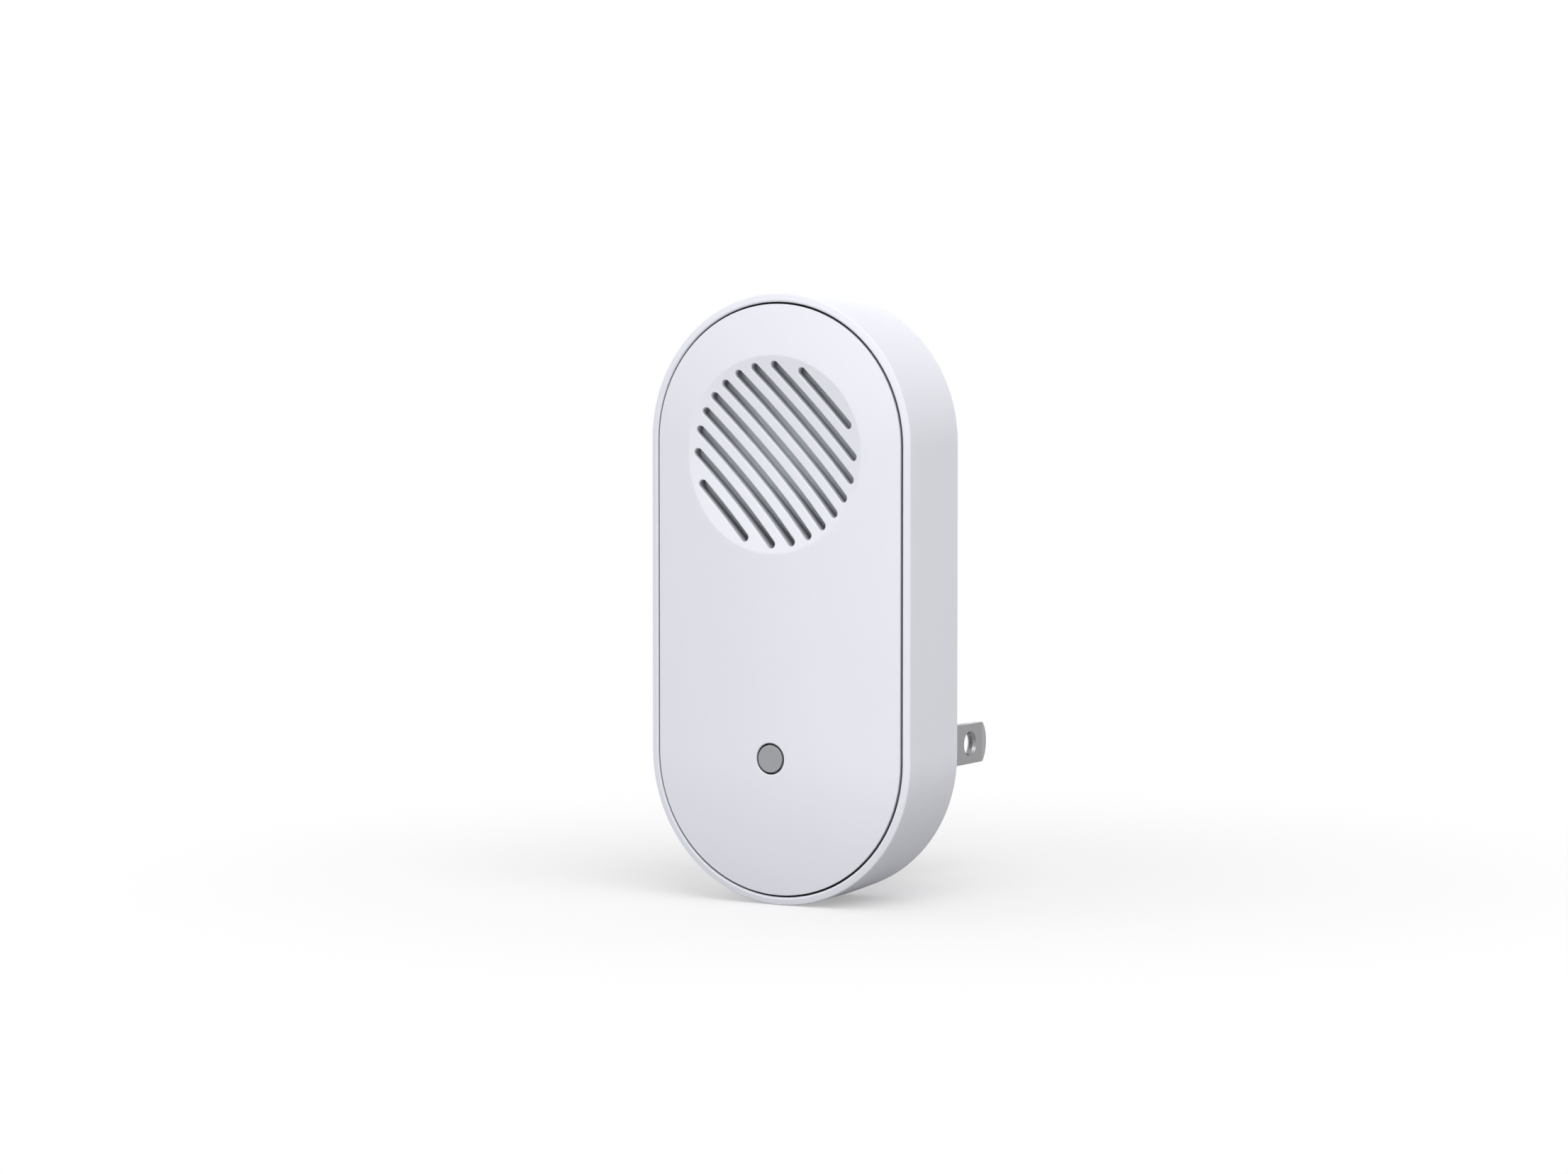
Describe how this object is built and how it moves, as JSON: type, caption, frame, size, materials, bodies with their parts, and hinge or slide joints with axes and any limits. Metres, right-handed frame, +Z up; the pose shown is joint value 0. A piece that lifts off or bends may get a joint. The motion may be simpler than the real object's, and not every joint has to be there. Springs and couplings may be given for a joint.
{
  "type": "plug-in doorbell chime",
  "caption": "Pill-shaped plug-in wireless chime with a domed cover, a slotted speaker dish, a push button and a two-blade mains plug behind.",
  "frame": {"origin": "on the outlet face of the plug block, midway between the two plug blades", "axes": "+Z up along the body's height, +Y out of the outlet face towards the wall, +X to the right as seen from the front"},
  "size_m": [0.0454, 0.0568, 0.0934],
  "materials": {
    "white_shell": "satin",
    "button_grey": "satin",
    "nickel_blade": "satin",
    "speaker_cloth": "matte",
    "foam": "matte",
    "black_plastic": "matte",
    "cone_paper": "matte",
    "surround_rubber": "satin",
    "copper_wire": "satin",
    "steel": "satin",
    "magnet": "satin",
    "board_laminate": "satin",
    "module_laminate": "satin",
    "power_laminate": "satin",
    "chip_epoxy": "matte",
    "component_ceramic": "matte",
    "ferrite": "matte",
    "aluminium_can": "satin",
    "capacitor_sleeve": "gloss",
    "winding_tape": "satin",
    "connector_nylon": "satin",
    "lead_red": "satin",
    "lead_black": "satin",
    "led_lens": "gloss",
    "gold_pin": "satin",
    "fish_paper": "matte",
    "barrier_sheet": "satin",
    "label_film": "satin"
  },
  "bodies": {
    "housing": {"front_cover": "white_shell", "rear_housing": "white_shell", "rating_label": "label_film", "speaker_mesh": "speaker_cloth", "speaker_gasket": "foam", "speaker_frame": "black_plastic", "speaker_surround": "surround_rubber", "top_plate": "steel", "speaker_magnet": "magnet", "magnet_yoke": "steel", "speaker_terminal": "power_laminate", "speaker_clamp": "black_plastic", "clamp_screws": "steel", "speaker_lead_red": "lead_red", "speaker_lead_black": "lead_black", "speaker_plug": "connector_nylon", "speaker_connector": "connector_nylon", "main_board": "board_laminate", "board_screws": "steel", "wireless_module": "module_laminate", "rf_shield": "steel", "chip_antenna": "component_ceramic", "main_processor": "chip_epoxy", "flash_memory": "chip_epoxy", "audio_amplifier": "chip_epoxy", "crystal": "steel", "power_inductor": "ferrite", "board_capacitors": "aluminium_can", "smd_parts": "component_ceramic", "status_led": "led_lens", "switch_base": "black_plastic", "switch_plate": "steel", "switch_dome": "gold_pin", "power_header": "black_plastic", "power_pins": "gold_pin", "mains_barrier": "barrier_sheet", "barrier_screws": "steel", "insulation_sheet": "fish_paper", "power_board": "power_laminate", "transformer_core": "ferrite", "transformer_winding": "winding_tape", "input_capacitor": "capacitor_sleeve", "filter_choke": "copper_wire", "output_capacitor": "capacitor_sleeve", "bridge_rectifier": "chip_epoxy", "fuse_resistor": "component_ceramic", "power_controller": "chip_epoxy", "blade_carrier": "black_plastic", "blade_contacts": "gold_pin", "plug_blade_left": "nickel_blade", "plug_blade_right": "nickel_blade"},
    "button": {"button_cap": "button_grey"},
    "switch": {"switch_plunger": "black_plastic"},
    "cone": {"speaker_cone": "cone_paper", "dust_cap": "cone_paper", "voice_coil": "copper_wire"}
  },
  "joints": [
    {"name": "button_press", "type": "slide", "parent": "housing", "child": "button", "axis": [0, 1, 0], "range_m": [0, 0.00025], "stiffness_N_per_m": 3000},
    {"name": "switch_press", "type": "slide", "parent": "housing", "child": "switch", "axis": [0, 1, 0], "range_m": [0, 0.00025], "deforming": ["switch_dome"]},
    {"name": "cone_travel", "type": "slide", "parent": "housing", "child": "cone", "axis": [0, -1, 0], "range_m": [-0.0004, 0.0004], "stiffness_N_per_m": 1500, "deforming": ["speaker_surround"]}
  ],
  "couplings": [
    {"joint": "switch_press", "follows": "button_press", "ratio": 1}
  ]
}
